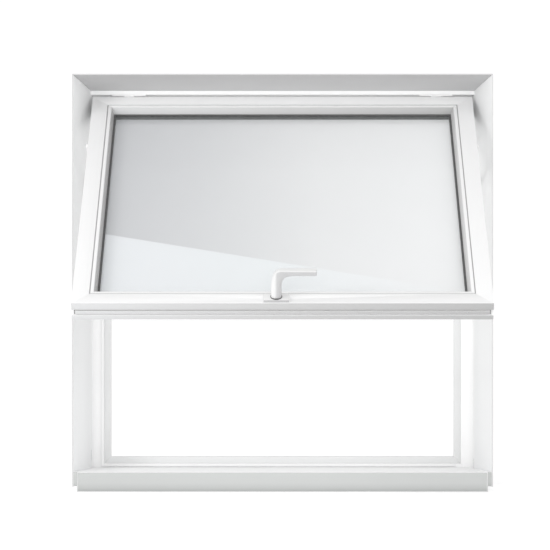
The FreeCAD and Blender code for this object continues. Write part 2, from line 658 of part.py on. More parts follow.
def lock_openings():
    """What the lock takes out of the bottom rail: bushes, plate screws and the face plate's screws."""
    front = rod("FrontBushBlank", axis_point("sash_front"), (0, 1, 0), "front_bush_radius",
                "lock_front - sash_front", SASH_POSE)
    rear = rod("RearBushBlank", axis_point("lock_rear"), (0, 1, 0), "rear_bush_radius",
               "lower_front - lock_rear", SASH_POSE)
    plate_seats = [("handle_x + %d * plate_screw_x" % sign, "sash_front - base_thick - 2", AXIS_Z)
                   for sign in SIDES.values()]
    plate_bores = screws("handle_screws", plate_seats, (0, 1, 0), SASH_POSE)
    strip_level = "sash_bottom + groove_depth - strip_thick"
    strip_seats = [("%d * strip_screw_step" % index, "(strip_front + strip_rear) / 2", strip_level)
                   for index in (-2, -1, 0, 1, 2)]
    strip_bores = screws("faceplate_screws", strip_seats, (0, 0, 1), SASH_POSE)
    bushes = []
    for name, blank in (("Front", front), ("Rear", rear)):
        bore = rod(name + "BushBore", axis_point("sash_front - 1"), (0, 1, 0), "hub_radius + run_gap", "30",
                   SASH_POSE)
        bushes.append(cut(name + "Bush", blank, bore))
    keep("pinion_bushes", group("pinion_bushes", bushes))
    strip = box("FaceStrip", ("-(sash_width / 2 - strip_end)", "strip_front", strip_level),
                ("sash_width - 2 * strip_end", "strip_rear - strip_front", "strip_thick"), SASH_POSE)
    keep("faceplate", cut("faceplate", strip, strip_bores))
    return group("LockOpenings", [front, rear, plate_bores, strip_bores])


def pinion():
    """Spur gear on a hub with a square hole; the teeth are straight-sided and run with backlash."""
    step = 360.0 / PINION_TEETH
    flanks = (("pinion_root", -9), ("pinion_tip", -2.6), ("pinion_tip", 2.6), ("pinion_root", 9))
    outline = []
    for tooth in range(PINION_TEETH):
        for radius, turn in flanks:
            angle = 90 - tooth * step - turn
            outline.append(("handle_x + %s * cos(%.6f)" % (radius, angle),
                            "%s + %s * sin(%.6f)" % (AXIS_Z, radius, angle)))
    body = new_body("PinionGear", SASH_POSE)
    pad(body, "XZ_Plane", [outline], "gear_width", offset="-(gear_front + gear_width)")
    hub = rod("PinionHub", axis_point("lock_front - hub_lead"), (0, 1, 0), "hub_radius", "hub_length",
              SASH_POSE)
    square = spindle_block("PinionSquare", "lock_front - hub_lead - 0.5", "hub_length + 1")
    keep("pinion", cut("pinion", fuse("PinionBlank", [body, hub]), square))


def spindle_block(name, start_y, length):
    side = "spindle_side"
    return box(name, ("handle_x - %s / 2" % side, start_y, "%s - %s / 2" % (AXIS_Z, side)),
               (side, length, side), SASH_POSE)


def handle():
    """Lever handle: a screwed base under a cover, and an L-shaped lever on a square spindle."""
    inner_x = "handle_x - plate_width / 2 + plate_wall"
    inner_z = AXIS_Z + " - plate_height / 2 + plate_wall"
    inner_width = "plate_width - 2 * plate_wall"
    inner_height = "plate_height - 2 * plate_wall"
    base = box("HandleBaseBlock", (inner_x, "sash_front - base_thick", inner_z),
               (inner_width, "base_thick", inner_height), SASH_POSE)
    base_hole = rod("HandleBaseHole", axis_point("sash_front - base_thick - 1"), (0, 1, 0),
                    "hub_radius + bolt_play", "base_thick + 2", SASH_POSE)
    base_tools = group("HandleBaseTools", [base_hole, doc.getObject("handle_screwsBores")])
    keep("handle_base", cut("handle_base", base, base_tools))
    cover_block = box("CoverBlock", ("handle_x - plate_width / 2", "sash_front - plate_depth",
                                     AXIS_Z + " - plate_height / 2"),
                      ("plate_width", "plate_depth", "plate_height"), SASH_POSE)
    cavity = box("CoverCavity", (inner_x, "sash_front - plate_depth + plate_roof", inner_z),
                 (inner_width, "plate_depth - plate_roof + 1", inner_height), SASH_POSE)
    cover_hole = rod("CoverHole", axis_point("sash_front - plate_depth - 1"), (0, 1, 0),
                     "neck_radius + 1.4", "5", SASH_POSE)
    rounded = soften("CoverRound", cover_block, "plate_round")
    keep("handle_cover", cut("handle_cover", rounded, group("CoverTools", [cavity, cover_hole])))
    lever_y = "sash_front - lever_height - lever_depth / 2"
    arm = box("LeverArm", ("handle_x - lever_heel", lever_y, AXIS_Z + " - lever_width / 2"),
              ("lever_reach + lever_heel", "lever_depth", "lever_width"), SASH_POSE)
    neck = rod("LeverNeck", axis_point(lever_y + " + 4"), (0, 1, 0), "neck_radius",
               "lever_height + lever_depth / 2 - 8.5", SASH_POSE)
    square = spindle_block("SpindleSquare", "sash_front - spindle_front", "spindle_length")
    lever = fuse("LeverBlank", [soften("LeverArmRound", arm, "lever_round"), neck])
    keep("handle_lever", cut("handle_lever", lever, square))
    keep("handle_spindle", group("handle_spindle", [square]))


def soften(name, block, radius):
    """Round every edge of a block."""
    rounded = doc.addObject("Part::Fillet", name)
    rounded.Base = block
    doc.recompute()
    size = number(radius)
    rounded.Edges = [(index, size, size) for index in range(1, len(block.Shape.Edges) + 1)]
    return rounded


def bolt_rod(side):
    """Lock rod with a rack at the pinion and a thicker bolt at its outer end."""
    sign = SIDES[side]
    up = "1" if side == "left" else "-1"
    tip_x = "(%d) * (sash_width / 2 - bolt_retract)" % sign
    step_x = "(%d) * (sash_width / 2 - bolt_retract - bolt_length)" % sign

    def level(distance):
        return "%s + (%s) * (%s)" % (AXIS_Z, up, distance)

    outline = [(tip_x, level("rod_back")), (tip_x, level("rod_back - bolt_thick")),
               (step_x, level("rod_back - bolt_thick")), (step_x, level("rod_root"))]
    for tooth in range(-1, 5):
        middle = "handle_x - (%d) * (%.1f) * pi * gear_module" % (sign, tooth - 0.5)
        for reach, height in ((-1.65, "rod_root"), (-0.55, "rod_tip"), (0.55, "rod_tip"), (1.65, "rod_root")):
            outline.append(("%s - (%d) * (%.2f)" % (middle, sign, reach), level(height)))
    end_x = "handle_x - (%d) * rod_tail" % sign
    outline += [(end_x, level("rod_root")), (end_x, level("rod_back"))]
    body = new_body("bolt_rod_" + side, SASH_POSE)
    pad(body, "XZ_Plane", [outline], "gear_width", offset="-(gear_front + gear_width)")
    keep("bolt_rod_" + side, body)


def check_document():
    """Stop if any feature failed or any sub-part is not a sound solid."""
    for item in doc.Objects:
        if "Invalid" in item.State or "Error" in item.State:
            raise RuntimeError("%s failed: %s" % (item.Label, item.State))
    for node in NODES:
        if node.Shape.isNull() or not node.Shape.isValid() or not node.Shape.Solids:
            raise RuntimeError("%s is not a sound solid" % node.Label)


def export():
    os.makedirs("parts", exist_ok=True)
    for node in NODES:
        node.Shape.exportStep("parts/%s.step" % node.Label)
        print("%-24s solids %2d volume %12.1f" % (node.Label, len(node.Shape.Solids), node.Shape.Volume))


outer_frame()
frame_reinforcement()
flat_ring("frame_gasket", FRAME_RING, "seat_edge - 6", "seat_edge - 1", "sash_back + 0.4",
          "rebate_floor - sash_back - 0.4")
reveal_boards()
sill_board()
sash_members()
sash_reinforcement()
hinges()
glazing()
setting_blocks()
stays()
pinion()
handle()
for rod_side in SIDES:
    bolt_rod(rod_side)
doc.recompute()
check_document()
export()
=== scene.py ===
"""Looks of the top-hung sash window: rounded mouldings, shaped handle, materials, camera and light."""
import json
import math

import bmesh
import bpy
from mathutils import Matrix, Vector


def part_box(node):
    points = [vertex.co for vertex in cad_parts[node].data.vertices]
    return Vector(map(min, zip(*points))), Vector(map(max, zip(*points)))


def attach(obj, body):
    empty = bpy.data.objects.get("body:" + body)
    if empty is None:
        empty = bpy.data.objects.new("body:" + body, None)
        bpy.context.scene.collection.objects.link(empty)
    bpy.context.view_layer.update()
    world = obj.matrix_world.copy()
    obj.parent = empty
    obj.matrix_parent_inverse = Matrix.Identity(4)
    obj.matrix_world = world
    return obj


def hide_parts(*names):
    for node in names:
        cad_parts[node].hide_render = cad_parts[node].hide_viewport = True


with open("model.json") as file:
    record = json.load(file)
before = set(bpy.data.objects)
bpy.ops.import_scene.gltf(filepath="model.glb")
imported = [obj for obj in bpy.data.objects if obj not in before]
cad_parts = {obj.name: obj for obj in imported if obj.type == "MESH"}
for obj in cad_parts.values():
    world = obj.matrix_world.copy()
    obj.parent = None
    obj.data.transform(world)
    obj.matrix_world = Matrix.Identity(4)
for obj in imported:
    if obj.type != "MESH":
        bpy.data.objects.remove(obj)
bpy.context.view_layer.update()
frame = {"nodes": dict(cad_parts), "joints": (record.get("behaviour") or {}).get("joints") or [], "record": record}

MM = 0.001
JOINTS = {joint["name"]: joint for joint in frame["joints"]}
HINGE = Vector(JOINTS["sash_hinge"]["pos_m"])
HANDLE = Vector(JOINTS["handle_turn"]["pos_m"])
SASH_OUT = Vector(JOINTS["handle_turn"]["axis"]).normalized()
ORIGIN = Vector((0, 0, 0))
ACROSS = Vector((1, 0, 0))
INWARD = Vector((0, 1, 0))
UPWARD = Vector((0, 0, 1))
SASH_UP = SASH_OUT.cross(ACROSS).normalized()


def sash_reach(name):
    """Nearest and farthest distance of a node's points from the hinge, down the sash."""
    down = [-SASH_UP.dot(vertex.co - HINGE) for vertex in frame["nodes"][name].data.vertices]
    return min(down), max(down)


# ---- materials ------------------------------------------------------------------------------


class Material:
    """A node material built around one Principled shader, in the object's own coordinates."""

    def __init__(self, name):
        self.material = bpy.data.materials.new(name)
        self.material.use_nodes = True
        self.tree = self.material.node_tree
        self.tree.nodes.clear()
        self.shader = self.node("ShaderNodeBsdfPrincipled")
        output = self.node("ShaderNodeOutputMaterial")
        self.link(self.shader.outputs["BSDF"], output.inputs["Surface"])
        self.place = self.node("ShaderNodeTexCoord").outputs["Object"]

    def node(self, kind, **settings):
        made = self.tree.nodes.new(kind)
        for key, value in settings.items():
            setattr(made, key, value)
        return made

    def link(self, source, target):
        self.tree.links.new(source, target)

    def set(self, **values):
        """Set shader sockets that are the same all over the surface."""
        for key, value in values.items():
            self.shader.inputs[key.replace("_", " ")].default_value = value

    def noise(self, scale, detail=3.0, stretch=(1, 1, 1)):
        """Noise value in object space; stretch lengthens it along an axis."""
        mapping = self.node("ShaderNodeMapping")
        mapping.inputs["Scale"].default_value = stretch
        self.link(self.place, mapping.inputs["Vector"])
        texture = self.node("ShaderNodeTexNoise")
        texture.inputs["Scale"].default_value = scale
        texture.inputs["Detail"].default_value = detail
        self.link(mapping.outputs["Vector"], texture.inputs["Vector"])
        return texture.outputs["Fac"]

    def remap(self, value, low, high, start=0.3, end=0.7):
        """Stretch a value from start..end to low..high."""
        ranged = self.node("ShaderNodeMapRange")
        ranged.inputs["From Min"].default_value = start
        ranged.inputs["From Max"].default_value = end
        ranged.inputs["To Min"].default_value = low
        ranged.inputs["To Max"].default_value = high
        self.link(value, ranged.inputs["Value"])
        return ranged.outputs["Result"]

    def along(self, direction, origin=ORIGIN):
        """Distance in metres of each point from origin, measured along a direction."""
        shifted = self.node("ShaderNodeVectorMath", operation="SUBTRACT")
        shifted.inputs[1].default_value = origin
        self.link(self.place, shifted.inputs[0])
        dot = self.node("ShaderNodeVectorMath", operation="DOT_PRODUCT")
        dot.inputs[1].default_value = direction
        self.link(shifted.outputs["Vector"], dot.inputs[0])
        return dot.outputs["Value"]

    def zone(self, direction, start, end, origin=ORIGIN):
        """From 0 to 1 between two distances along a direction."""
        return self.remap(self.along(direction, origin), 0, 1, start, end)

    def facing(self, direction, start=0.45, end=0.85):
        """From 0 to 1 as the surface turns towards a direction, in the object's own coordinates."""
        coordinates = self.node("ShaderNodeTexCoord")
        dot = self.node("ShaderNodeVectorMath", operation="DOT_PRODUCT")
        dot.inputs[1].default_value = direction
        self.link(coordinates.outputs["Normal"], dot.inputs[0])
        return self.remap(dot.outputs["Value"], 0, 1, start, end)

    def math(self, operation, first, second=0):
        """Result of a math node; each term is a number or an output."""
        made = self.node("ShaderNodeMath", operation=operation)
        for socket, value in zip(made.inputs, (first, second)):
            if isinstance(value, (int, float)):
                socket.default_value = value
            else:
                self.link(value, socket)
        return made.outputs["Value"]

    def ramp(self, factor, stops):
        """Colour from a value: stops are (position, colour)."""
        made = self.node("ShaderNodeValToRGB")
        band = made.color_ramp
        while len(band.elements) < len(stops):
            band.elements.new(0.5)
        for element, (position, colour) in zip(band.elements, stops):
            element.position = position
            element.color = (*colour, 1)
        self.link(factor, made.inputs["Fac"])
        return made.outputs["Color"]

    def mix(self, factor, first, second):
        """Blend of two colour outputs by a value."""
        made = self.node("ShaderNodeMix", data_type="RGBA")
        self.link(factor, made.inputs["Factor"])
        self.link(first, made.inputs["A"])
        self.link(second, made.inputs["B"])
        return made.outputs["Result"]

    def tint(self, mask, base, tone):
        """One tone over a colour output, where the mask is 1."""
        return self.mix(mask, base, self.ramp(mask, [(0.0, tone), (1.0, tone)]))

    def multiply(self, first, second):
        """Product of two colour outputs."""
        made = self.node("ShaderNodeMix", data_type="RGBA", blend_type="MULTIPLY")
        made.inputs["Factor"].default_value = 1.0
        self.link(first, made.inputs["A"])
        self.link(second, made.inputs["B"])
        return made.outputs["Result"]

    def colour(self, output):
        self.link(output, self.shader.inputs["Base Color"])

    def roughness(self, output):
        self.link(output, self.shader.inputs["Roughness"])

    def bump(self, height, strength, distance):
        made = self.node("ShaderNodeBump")
        made.inputs["Strength"].default_value = strength
        made.inputs["Distance"].default_value = distance
        self.link(height, made.inputs["Height"])
        self.link(made.outputs["Normal"], self.shader.inputs["Normal"])


def grey(level):
    return (level, level, level)


def plastic(name, tone, gloss=0.42, shade=None):
    """Extruded white window plastic with faint cloudiness; shade tints some of its faces."""
    made = Material(name)
    cloud = made.remap(made.noise(scale=7.0, detail=2.0), 0, 1)
    face = made.ramp(cloud, [(0.0, (tone * 0.990, tone * 0.991, tone * 0.993)), (1.0, grey(tone))])
    made.colour(shade(made, face) if shade else face)
    made.roughness(made.remap(made.noise(scale=60.0), gloss - 0.03, gloss + 0.04))
    made.bump(made.noise(scale=240.0, detail=2.0), strength=0.02, distance=0.0001)
    made.set(IOR=1.50)
    return made


def under_shade(made, face):
    """Painted shade, darker to the right, on the faces that look down along the sash."""
    across = made.zone(ACROSS, -SASH_HALF, SASH_HALF)
    return made.mix(made.facing(-SASH_UP), face, made.ramp(across, UNDER_SHADE_STOPS))


def sash_shade(made, face):
    """Painted shade on the under sides of the sash, with the floor of the lock groove darker still."""
    down = made.along(-SASH_UP, HINGE)
    near_edge = made.remap(down, 0, 1, SASH_EDGE - GROOVE_ZONE[0], SASH_EDGE - GROOVE_ZONE[1])
    above_strip = made.remap(down, 1, 0, SASH_EDGE - GROOVE_FLOOR[0], SASH_EDGE - GROOVE_FLOOR[1])
    groove_shade = made.math("MULTIPLY", made.math("MULTIPLY", above_strip, near_edge), made.facing(-SASH_UP))
    return made.tint(groove_shade, under_shade(made, face), GROOVE_SHADE_TONE)


def bead_shade(made, face):
    """Painted shade on the beads: on their under sides, greyer inner sides, and a dark line in the gap where they
    meet the sash.
    """
    face = under_shade(made, face)
    for direction, tone in BEAD_SIDE_SHADES:
        face = made.tint(made.facing(direction, start=0.4), face, tone)
    sideways = made.math("SUBTRACT", made.math("ABSOLUTE", made.along(ACROSS)), BEAD_HALF_WIDE)
    down = made.math("SUBTRACT", made.along(-SASH_UP, HINGE), BEAD_MIDDLE)
    lengthways = made.math("SUBTRACT", made.math("ABSOLUTE", down), BEAD_HALF_LONG)
    past = made.math("MAXIMUM", sideways, lengthways)
    return made.tint(made.remap(past, 0, 1, -BEAD_LINE, LINE_BLUR - BEAD_LINE), face, JOINT_SHADE_TONE)


def nosing_shade(made, face):
    """Painted shade on the upright front of the sill board, darkest along its lower edge."""
    height = made.zone(UPWARD, 0.0, NOSING_TALL)
    return made.mix(made.facing(-INWARD), face, made.ramp(height, NOSING_SHADE_STOPS))


def recess_shade(made, face):
    """Painted shade, slightly darker, on the frame's step behind the sash."""
    depth = made.zone(INWARD, *RECESS_ZONE)
    return made.mix(depth, face, made.ramp(depth, RECESS_SHADE_STOPS))


def reveal_paint_and_shade(name, stops, heights, depth_stops):
    """Satin paint on the reveal boards, greyed by painted shade by height and by depth and on the front lip, with
    faint brush marks.
    """
    made = Material(name)
    tone = made.ramp(made.zone(UPWARD, *heights), stops)
    tone = made.multiply(tone, made.ramp(made.zone(INWARD, *REVEAL_DEPTH), depth_stops))
    marks = made.noise(scale=26.0, detail=6.0, stretch=(14, 14, 1))
    grain = made.ramp(made.remap(marks, 0, 1), [(0.0, grey(0.99)), (1.0, grey(1.0))])
    made.colour(made.tint(made.facing(-INWARD, 0.5, 0.9), made.multiply(tone, grain), LIP_SHADE_TONE))
    made.roughness(made.remap(marks, 0.42, 0.54))
    made.bump(marks, strength=0.02, distance=0.0002)
    made.set(IOR=1.5)
    return made


def rubber(name, tone):
    """Matt rubber or moulded dark plastic with a fine grain."""
    made = Material(name)
    grain = made.noise(scale=300.0, detail=4.0)
    made.colour(made.ramp(made.remap(grain, 0, 1), [(0.0, grey(tone * 0.7)), (1.0, grey(tone * 1.25))]))
    made.roughness(made.remap(made.noise(scale=90.0), 0.55, 0.75))
    made.bump(grain, strength=0.15, distance=0.0003)
    made.set(IOR=1.5)
    return made


def metal(name, tint, rough):
    """Plated or turned metal with fine brushing and slight stains."""
    made = Material(name)
    brushed = made.noise(scale=40.0, detail=6.0, stretch=(1, 60, 60))
    stains = made.noise(scale=35.0, detail=4.0)
    dark = tuple(channel * 0.8 for channel in tint)
    made.colour(made.ramp(made.remap(stains, 0, 1), [(0.0, dark), (1.0, tint)]))
    made.roughness(made.remap(brushed, rough - 0.08, rough + 0.12))
    made.bump(brushed, strength=0.12, distance=0.0002)
    made.set(Metallic=1.0)
    return made


def lacquer(name, tone, shade=None):
    """Satin white lacquer over a casting; shade tints some of its faces."""
    made = Material(name)
    cloud = made.remap(made.noise(scale=30.0), 0, 1)
    face = made.ramp(cloud, [(0.0, grey(tone * 0.985)), (1.0, grey(tone))])
    made.colour(shade(made, face) if shade else face)
    made.roughness(made.remap(made.noise(scale=120.0), 0.28, 0.36))
    made.bump(made.noise(scale=260.0, detail=2.0), strength=0.02, distance=0.0002)
    made.set(IOR=1.50, Coat_Weight=0.15, Coat_Roughness=0.15)
    return made


def lever_shade(made, face):
    """Painted shade: a greyer lower side right of the neck's middle, and greyer faces towards the tip."""
    across = made.zone(ACROSS, -NECK_HALF, NECK_HALF, HANDLE)
    face = made.mix(made.facing(-SASH_UP), face, made.ramp(across, LEVER_SHADE_STOPS))
    return made.tint(made.facing(ACROSS, start=0.35), face, LEVER_SHADE_STOPS[-1][1])


def plate_shade(made, face):
    """Painted shade on the lower edge of the handle's plate."""
    return made.tint(made.facing(-SASH_UP, 0.35, 0.75), face, PLATE_EDGE_SHADE)


def glass_surface(made):
    """Polish, faint waves and refraction, alike for both panes."""
    made.roughness(made.remap(made.noise(scale=14.0), 0.01, 0.03))
    made.bump(made.noise(scale=3.0, detail=2.0), strength=0.02, distance=0.002)
    made.set(IOR=1.52)


def pane_glass(name):
    """Outer glass with a painted reflection: grey at the left, pale at the right, with a lighter field low down.
    """
    made = Material(name)
    across = made.zone(ACROSS, -GLASS_HALF, GLASS_HALF)
    sideways = made.math("MULTIPLY", made.along(ACROSS), FIELD_SLOPE)
    down = made.math("SUBTRACT", made.along(-SASH_UP, HINGE), sideways)
    reflection_field = made.remap(down, 0, 1, FIELD_START, FIELD_START + FIELD_BLUR)
    made.colour(made.mix(reflection_field, made.ramp(across, SKY_REFLECTION_STOPS), made.ramp(across, FIELD_REFLECTION_STOPS)))
    made.link(made.remap(across, *PANE_ALPHA, 0.0, 1.0), made.shader.inputs["Alpha"])
    glass_surface(made)
    return made


def clear_glass(name):
    """Plain inner glass, nearly clear, with a faint green-grey body."""
    made = Material(name)
    body = made.remap(made.noise(scale=4.0), 0, 1)
    made.colour(made.ramp(body, [(0.0, (0.56, 0.60, 0.60)), (1.0, (0.62, 0.65, 0.65))]))
    glass_surface(made)
    made.set(Alpha=0.10)
    return made


# Places, in metres: half widths from the middle, distances down the sash from the hinge, depths, heights.
SASH_HALF = 0.46
GLASS_HALF = 0.42
NECK_HALF = 0.012
SASH_EDGE = sash_reach("sash_bottom_rail")[1]
BEAD_HALF_WIDE = -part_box("bead_left")[0].x
BEAD_MIDDLE = (sash_reach("bead_top")[0] + sash_reach("bead_bottom")[1]) / 2
BEAD_HALF_LONG = (sash_reach("bead_bottom")[1] - sash_reach("bead_top")[0]) / 2
BEAD_LINE = 0.0022
LINE_BLUR = 0.0003
GROOVE_FLOOR = (0.0039, 0.0024)
GROOVE_ZONE = (0.0274, 0.0174)
FIELD_START = 0.679
FIELD_BLUR = 0.004
FIELD_SLOPE = 0.291
RECESS_ZONE = (0.010, 0.014)
REVEAL_DEPTH = (-0.150, -0.040)
JAMB_HEIGHTS = (0.0, 0.99)
HEAD_HEIGHTS = (0.957, 0.99)
NOSING_TALL = 0.047

# Tones: single colours, and stops of (share of the way, colour); all are painted shade except the sky and field
# stops, a painted reflection. The pane's alpha goes from left to right.
LIP_SHADE_TONE = grey(0.62)
GROOVE_SHADE_TONE = grey(0.28)
JOINT_SHADE_TONE = grey(0.52)
PLATE_EDGE_SHADE = (0.46, 0.46, 0.465)
BEAD_SIDE_SHADES = [(ACROSS, grey(0.46)), (-ACROSS, grey(0.62))]
PANE_ALPHA = (0.86, 0.72)
SKY_REFLECTION_STOPS = [(0.0, (0.58, 0.585, 0.61)), (0.25, (0.68, 0.685, 0.705)), (0.6, (0.86, 0.865, 0.875)),
             (1.0, (0.97, 0.975, 0.985))]
FIELD_REFLECTION_STOPS = [(0.0, (0.86, 0.88, 0.91)), (0.5, (0.90, 0.93, 0.95)), (1.0, (0.97, 0.975, 0.985))]
JAMB_SHADE_STOPS = [(0.0, (0.97, 0.975, 0.98)), (0.45, (0.87, 0.875, 0.875)), (0.7, (0.86, 0.865, 0.865)),
              (1.0, (0.97, 0.975, 0.975))]
JAMB_DEPTH_SHADE_STOPS = [(0.0, grey(0.92)), (1.0, grey(1.0))]
HEAD_SHADE_STOPS = [(0.0, (0.60, 0.60, 0.605)), (1.0, (0.60, 0.60, 0.605))]
HEAD_DEPTH_SHADE_STOPS = [(0.0, grey(0.75)), (1.0, grey(1.0))]
UNDER_SHADE_STOPS = [(0.0, (0.62, 0.625, 0.63)), (0.5, grey(0.51)), (1.0, grey(0.43))]
NOSING_SHADE_STOPS = [(0.0, (0.36, 0.37, 0.365)), (0.2, (0.46, 0.47, 0.465)), (0.45, (0.52, 0.53, 0.525)),
                (1.0, (0.53, 0.545, 0.535))]
RECESS_SHADE_STOPS = [(0.0, grey(0.93)), (1.0, (0.76, 0.765, 0.765))]
LEVER_SHADE_STOPS = [(0.0, grey(0.80)), (0.38, grey(0.74)), (0.58, (0.52, 0.52, 0.525)),
               (1.0, (0.50, 0.50, 0.505))]

MATERIALS = {
    "frame": plastic("frame_plastic", 0.93, 0.42, recess_shade),
    "sash": plastic("sash_plastic", 0.93, 0.40, sash_shade),
    "bead": plastic("bead_plastic", 0.92, 0.40, bead_shade),
    "jamb": reveal_paint_and_shade("reveal_shade_and_paint_jamb", JAMB_SHADE_STOPS, JAMB_HEIGHTS, JAMB_DEPTH_SHADE_STOPS),
    "head": reveal_paint_and_shade("reveal_shade_and_paint_head", HEAD_SHADE_STOPS, HEAD_HEIGHTS, HEAD_DEPTH_SHADE_STOPS),
    "sill": plastic("sill_board_plastic", 0.96, 0.42, nosing_shade),
    "white_rubber": plastic("gasket_white_rubber", 0.88, 0.60),
    "black_rubber": rubber("gasket_black_rubber", 0.10),
    "spacer": rubber("spacer_dark", 0.035),
    "steel": metal("zinc_plated_steel", (0.62, 0.63, 0.65), 0.36),
    "brass": metal("slider_brass", (0.72, 0.55, 0.28), 0.3),
    "bush": rubber("bush_dark", 0.18),
    "packer": plastic("packer_plastic", 0.45),
    "plate": lacquer("handle_lacquer", 0.82, plate_shade),
    "lever": lacquer("lever_lacquer", 0.80, lever_shade),
    "collar": rubber("collar_painted_shade", 0.12),
    "painted": lacquer("painted_hardware", 0.88),
    "pane": pane_glass("pane_glass"),
    "clear": clear_glass("inner_glass"),
}

NODE_MATERIALS = {
    "steel": ("frame_reinforcement", "sash_reinforcement", "hinge_pins", "hinge_frame_screws",
              "hinge_sash_screws", "track_screws", "keep_screws", "handle_base", "handle_screws",
              "handle_spindle", "pinion", "stay_track_left", "stay_track_right", "bolt_keep_left",
              "bolt_keep_right", "bolt_rod_left", "bolt_rod_right"),
    "painted": ("stay_stud_left", "stay_stud_right"),
    "brass": ("stay_slider_left", "stay_slider_right"),
    "white_rubber": ("frame_gasket",),
    "sash": ("faceplate_screws",),
    "black_rubber": ("edge_seal", "glazing_gasket_back"),
    "spacer": ("spacer_bar",),
    "bush": ("pinion_bushes",),
    "packer": ("setting_blocks",),
    "pane": ("outer_pane",),
    "clear": ("inner_pane",),
}


def dress_node(name, material):
    """Give a CAD node that is shown as it is one of the materials above."""
    slots = frame["nodes"][name].data.materials
    slots.clear()
    slots.append(material.material)


for key, names in NODE_MATERIALS.items():
    for node_name in names:
        dress_node(node_name, MATERIALS[key])
PANES = ("outer_pane", "inner_pane")
for node_name in PANES:
    frame["nodes"][node_name].visible_shadow = False
for node_name in PANES + ("spacer_bar", "edge_seal", "glazing_gasket_back"):
    frame["nodes"][node_name].visible_diffuse = False

# ---- mouldings with rounded edges -----------------------------------------------------------


SHARP_DEGREES = 25
FLAT_DEGREES = 1.0
EDGE_SEGMENTS = 2
WELD = 1e-6


def body_of_node(name):
    return next(body for body, names in frame["record"]["behaviour"]["bodies"].items() if name in names)


def finished(name, work, smooth_degrees, material):
    """Turn a bmesh into a shown object with smooth faces and a material."""
    bmesh.ops.recalc_face_normals(work, faces=work.faces)
    mesh = bpy.data.meshes.new(name)
    work.to_mesh(mesh)
    work.free()
    mesh.shade_smooth()
    mesh.set_sharp_from_angle(angle=math.radians(smooth_degrees))
    mesh.materials.append(material.material)
    piece = bpy.data.objects.new(name, mesh)
    bpy.context.scene.collection.objects.link(piece)
    return piece


def rounded(node, radius, material):
    """A copy of a CAD piece with its sharp edges rounded, shown in its place."""
    work = bmesh.new()
    work.from_mesh(frame["nodes"][node].data)
    bmesh.ops.remove_doubles(work, verts=work.verts, dist=WELD)
    bmesh.ops.dissolve_limit(work, angle_limit=math.radians(FLAT_DEGREES), verts=work.verts, edges=work.edges)
    sharp = [edge for edge in work.edges
             if len(edge.link_faces) == 2 and edge.calc_face_angle(0) > math.radians(SHARP_DEGREES)]
    bmesh.ops.bevel(work, geom=sharp, offset=radius, offset_type="OFFSET", segments=EDGE_SEGMENTS,
                    profile=0.5, affect="EDGES", clamp_overlap=True)
    piece = finished(node + "_moulded", work, 40, material)
    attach(piece, body_of_node(node))
    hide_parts(node)


# edge radius in metres, and the nodes it goes on
ROUNDED = {
    "frame": (0.0009, ("frame_head", "frame_bottom_rail", "frame_jamb_left", "frame_jamb_right")),
    "sash": (0.0012, ("sash_top_rail", "sash_bottom_rail", "sash_stile_left", "sash_stile_right",
                      "faceplate")),
    "bead": (0.0005, ("bead_top", "bead_bottom", "bead_left", "bead_right")),
    "jamb": (0.0006, ("jamb_liner_left", "jamb_liner_right")),
    "head": (0.0006, ("head_liner",)),
    "sill": (0.0010, ("sill_board", "sill_end_caps")),
    "black_rubber": (0.0005, ("glazing_gasket_front",)),
    "painted": (0.0004, ("hinge_frame_leaf_left", "hinge_frame_leaf_right", "hinge_sash_leaf_left",
                         "hinge_sash_leaf_right", "stay_arm_left", "stay_arm_right")),
}
for key, (edge_radius, names) in ROUNDED.items():
    for node_name in names:
        rounded(node_name, edge_radius, MATERIALS[key])

# ---- handle ---------------------------------------------------------------------------------


# Handle sizes in millimetres, from the handle's axis where it meets the sash's face.
RING_POINTS = 48
PATH_STEPS = 6
# outer edge's place (right, out), inner edge's place, half width up the sash, corner exponent
LEVER_STATIONS = [
    (-11.5, 6.3, 11.5, 6.3, 9.0, 0.85),
    (-11.5, 20.0, 11.5, 22.0, 9.0, 0.85),
    (-11.3, 34.0, 11.6, 34.0, 9.0, 0.8),
    (-10.2, 46.0, 12.3, 43.0, 9.0, 0.75),
    (-8.4, 57.0, 14.5, 50.0, 8.9, 0.7),
    (-5.0, 66.0, 18.5, 56.0, 8.8, 0.65),
    (0.5, 72.8, 25.0, 60.5, 8.7, 0.6),
    (9.0, 76.0, 34.0, 62.8, 8.6, 0.52),
    (24.0, 76.1, 45.0, 63.5, 8.6, 0.48),
    (44.0, 76.1, 54.0, 63.5, 8.6, 0.46),
    (64.0, 75.9, 66.0, 63.5, 8.6, 0.46),
    (82.0, 75.4, 82.0, 63.5, 8.5, 0.46),
    (85.6, 74.9, 85.6, 63.9, 8.3, 0.46),
    (86.8, 73.9, 86.8, 64.8, 7.4, 0.47),
    (87.2, 72.4, 87.2, 66.0, 6.0, 0.5)]
# out of the sash face, inset of the outline
PLATE_LAYERS = [(0.0, 0.0), (4.2, 0.0), (5.1, 0.3), (5.7, 1.0), (6.0, 2.2)]
PLATE_RATIO = 27 / 56
PLATE_CORNER = 3.5
SMALLEST_CORNER = 0.8
CORNER_STEPS = 8
# out of the sash face, radius
COLLAR_LAYERS = [(5.9, 12.8), (6.7, 12.8), (7.0, 12.4), (7.0, 11.6)]


def on_sash(x, up, out):
    """Point in the row frame, in metres: right, up the sash and out of its face."""
    return HANDLE + ACROSS * (x * MM) + SASH_UP * (up * MM) + SASH_OUT * (out * MM)


